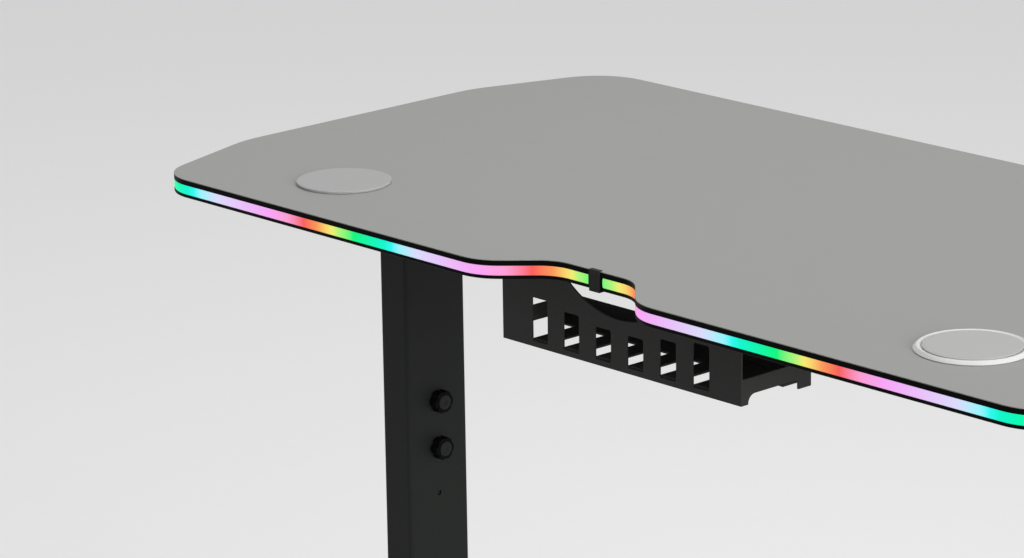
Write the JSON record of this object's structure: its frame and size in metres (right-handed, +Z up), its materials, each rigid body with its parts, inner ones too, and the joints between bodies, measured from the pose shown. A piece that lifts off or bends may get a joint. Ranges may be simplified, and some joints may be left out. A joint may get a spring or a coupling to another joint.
{
  "type": "gaming desk",
  "caption": "Contoured desk on telescoping T legs with a lit edge, rear cable recess, slotted cable tray, grommet and inset wireless charger.",
  "frame": {"origin": "on the floor under the middle of the desk", "axes": "+Z up, +X along the desk to the seated user's right, the user sits on the -Y side and the cable recess is in the +Y edge"},
  "size_m": [1.2, 0.6, 0.754],
  "materials": {
    "desktop": "matte grey laminate over particle board",
    "trim": "black edge band",
    "light": "milky light diffuser",
    "tape": "flexible light tape",
    "black_plastic": "black moulded plastic",
    "button": "soft black button",
    "cap": "light grey moulded plastic",
    "charger_ring": "white moulded ring",
    "charger_pad": "light grey soft-touch disc",
    "coil": "enamelled copper winding",
    "circuit": "circuit board",
    "frame_steel": "fine black powder coat",
    "tray_steel": "charcoal powder coat",
    "fastener": "black zinc",
    "foot_pad": "black rubber pad on a steel stem"
  },
  "bodies": {
    "right_base": {"column_inner_right": "frame_steel", "guide_shoe_right": "black_plastic", "base_plate_right": "frame_steel", "foot_bar_right": "frame_steel", "foot_caps_right": "black_plastic", "foot_bolts_right": "fastener"},
    "left_base": {"column_inner_left": "frame_steel", "guide_shoe_left": "black_plastic", "base_plate_left": "frame_steel", "foot_bar_left": "frame_steel", "foot_caps_left": "black_plastic", "foot_bolts_left": "fastener"},
    "knob_right_upper": {"clamp_knob_right_upper": "black_plastic"},
    "knob_right_lower": {"clamp_knob_right_lower": "black_plastic"},
    "knob_left_upper": {"clamp_knob_left_upper": "black_plastic"},
    "knob_left_lower": {"clamp_knob_left_lower": "black_plastic"},
    "leveller_right_front": {"levelling_foot_right_front": "foot_pad"},
    "leveller_right_rear": {"levelling_foot_right_rear": "foot_pad"},
    "leveller_left_front": {"levelling_foot_left_front": "foot_pad"},
    "leveller_left_rear": {"levelling_foot_left_rear": "foot_pad"},
    "cap": {"grommet_cap": "cap"},
    "button": {"controller_button": "button"},
    "top": {"arm_caps": "black_plastic", "charger_circuit": "circuit", "charger_coil": "coil", "charger_cover": "black_plastic", "charger_housing": "charger_ring", "charger_nut": "black_plastic", "charger_pad": "charger_pad", "clamp_nuts_left": "frame_steel", "clamp_nuts_right": "frame_steel", "column_collar_left": "black_plastic", "column_collar_right": "black_plastic", "column_outer_left": "frame_steel", "column_outer_right": "frame_steel", "desktop_board": "desktop", "desktop_screws": "fastener", "edge_trim": "trim", "front_rail": "frame_steel", "grommet_sleeve": "black_plastic", "light_clip": "trim", "light_controller": "black_plastic", "light_diffuser_left": "light", "light_diffuser_right": "light", "light_tape_left": "tape", "light_tape_right": "tape", "plate_bolts": "fastener", "rail_bolts": "fastener", "rear_rail": "frame_steel", "side_arm_left": "frame_steel", "side_arm_right": "frame_steel", "top_plate_left": "frame_steel", "top_plate_right": "frame_steel", "tray_end_left": "tray_steel", "tray_end_right": "tray_steel", "tray_floor": "tray_steel", "tray_front_wall": "tray_steel", "tray_rear_wall": "tray_steel", "tray_screws": "fastener"}
  },
  "joints": [
    {"name": "height", "type": "slide", "parent": "right_base", "child": "top", "axis": [0, 0, 1], "range_m": [-0.05, 0.05]},
    {"name": "left_height", "type": "slide", "parent": "top", "child": "left_base", "axis": [0, 0, 1], "range_m": [-0.05, 0.05]},
    {"name": "knob_right_upper_turn", "type": "hinge", "parent": "top", "child": "knob_right_upper", "pos_m": [0.49, 0, 0.465], "axis": [1, 0, 0], "continuous": true},
    {"name": "knob_right_lower_turn", "type": "hinge", "parent": "top", "child": "knob_right_lower", "pos_m": [0.49, 0, 0.415], "axis": [1, 0, 0], "continuous": true},
    {"name": "knob_left_upper_turn", "type": "hinge", "parent": "top", "child": "knob_left_upper", "pos_m": [-0.49, 0, 0.465], "axis": [1, 0, 0], "continuous": true},
    {"name": "knob_left_lower_turn", "type": "hinge", "parent": "top", "child": "knob_left_lower", "pos_m": [-0.49, 0, 0.415], "axis": [1, 0, 0], "continuous": true},
    {"name": "leveller_right_front_turn", "type": "hinge", "parent": "right_base", "child": "leveller_right_front", "pos_m": [0.516, -0.23, 0], "axis": [0, 0, 1], "continuous": true},
    {"name": "leveller_right_rear_turn", "type": "hinge", "parent": "right_base", "child": "leveller_right_rear", "pos_m": [0.516, 0.23, 0], "axis": [0, 0, 1], "continuous": true},
    {"name": "leveller_left_front_turn", "type": "hinge", "parent": "left_base", "child": "leveller_left_front", "pos_m": [-0.516, -0.23, 0], "axis": [0, 0, 1], "continuous": true},
    {"name": "leveller_left_rear_turn", "type": "hinge", "parent": "left_base", "child": "leveller_left_rear", "pos_m": [-0.516, 0.23, 0], "axis": [0, 0, 1], "continuous": true},
    {"name": "cap_lift", "type": "slide", "parent": "top", "child": "cap", "axis": [0, 0, 1], "range_m": [0, 0.06]},
    {"name": "button_press", "type": "slide", "parent": "top", "child": "button", "axis": [0, 0, 1], "range_m": [0, 0.001], "stiffness_N_per_m": 400}
  ],
  "couplings": [
    {"joint": "left_height", "follows": "height", "ratio": -1}
  ]
}
